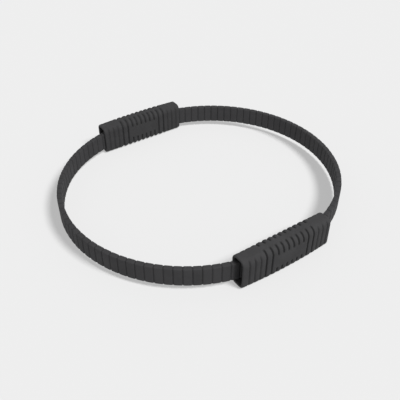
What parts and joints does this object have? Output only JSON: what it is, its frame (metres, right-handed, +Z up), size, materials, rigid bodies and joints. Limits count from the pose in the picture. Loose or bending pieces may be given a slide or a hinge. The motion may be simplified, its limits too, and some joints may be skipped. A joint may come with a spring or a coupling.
{
  "type": "pilates ring",
  "caption": "Springy pilates resistance ring: a flat ribbed rubber-covered steel band with hollow grooved rubber grips facing each other, squeezed together between hands or knees.",
  "frame": {"origin": "on the surface the ring lies on, under the ring's centre", "axes": "+Z up, square to the ring's plane; +X through the front grip; +Y across the bows, to the right bow"},
  "size_m": [0.3592, 0.38, 0.042],
  "materials": {
    "grip_rubber": "matte moulded rubber",
    "sheath_rubber": "matte ribbed rubber",
    "spring_steel": "blued and oiled rolled strip",
    "plated_steel": "zinc plated",
    "carrier_plastic": "moulded glass-filled nylon",
    "fastener_steel": "zinc plated"
  },
  "bodies": {
    "back_handle": {"back_grip": "grip_rubber", "back_inner_carrier": "carrier_plastic", "back_outer_carrier": "carrier_plastic", "back_splice_plate": "plated_steel", "back_splice_rivets": "plated_steel", "back_clamp_screws": "fastener_steel", "back_clamp_nuts": "fastener_steel", "left_inner_leaf": "spring_steel", "left_outer_leaf": "spring_steel", "right_inner_leaf": "spring_steel", "right_outer_leaf": "spring_steel"},
    "left_back_bow": {"left_back_sheath": "sheath_rubber"},
    "left_front_bow": {"left_front_sheath": "sheath_rubber"},
    "front_handle": {"front_grip": "grip_rubber", "front_inner_carrier": "carrier_plastic", "front_outer_carrier": "carrier_plastic", "front_splice_plate": "plated_steel", "front_splice_rivets": "plated_steel", "front_clamp_screws": "fastener_steel", "front_clamp_nuts": "fastener_steel"},
    "right_back_bow": {"right_back_sheath": "sheath_rubber"},
    "right_front_bow": {"right_front_sheath": "sheath_rubber"}
  },
  "joints": [
    {"name": "squeeze", "type": "hinge", "parent": "back_handle", "child": "left_back_bow", "pos_m": [-0.16675, -0.0205, 0.021], "axis": [0, 0, -1], "range_deg": [0, 11], "stiffness_Nm_per_rad": 110, "deforming": ["left_inner_leaf", "left_outer_leaf", "right_inner_leaf", "right_outer_leaf"]},
    {"name": "left_crown_flex", "type": "hinge", "parent": "left_back_bow", "child": "left_front_bow", "pos_m": [0, -0.1842, 0.021], "axis": [0, 0, 1], "range_deg": [0, 22]},
    {"name": "left_front_flex", "type": "hinge", "parent": "left_front_bow", "child": "front_handle", "pos_m": [0.16675, -0.0205, 0.021], "axis": [0, 0, -1], "range_deg": [0, 11]},
    {"name": "right_back_flex", "type": "hinge", "parent": "back_handle", "child": "right_back_bow", "pos_m": [-0.16675, 0.0205, 0.021], "axis": [0, 0, 1], "range_deg": [0, 11]},
    {"name": "right_crown_flex", "type": "hinge", "parent": "right_back_bow", "child": "right_front_bow", "pos_m": [0, 0.1842, 0.021], "axis": [0, 0, -1], "range_deg": [0, 22]}
  ],
  "couplings": [
    {"joint": "left_crown_flex", "follows": "squeeze", "ratio": 2},
    {"joint": "left_front_flex", "follows": "squeeze", "ratio": 1},
    {"joint": "right_back_flex", "follows": "squeeze", "ratio": 1},
    {"joint": "right_crown_flex", "follows": "squeeze", "ratio": 2}
  ]
}
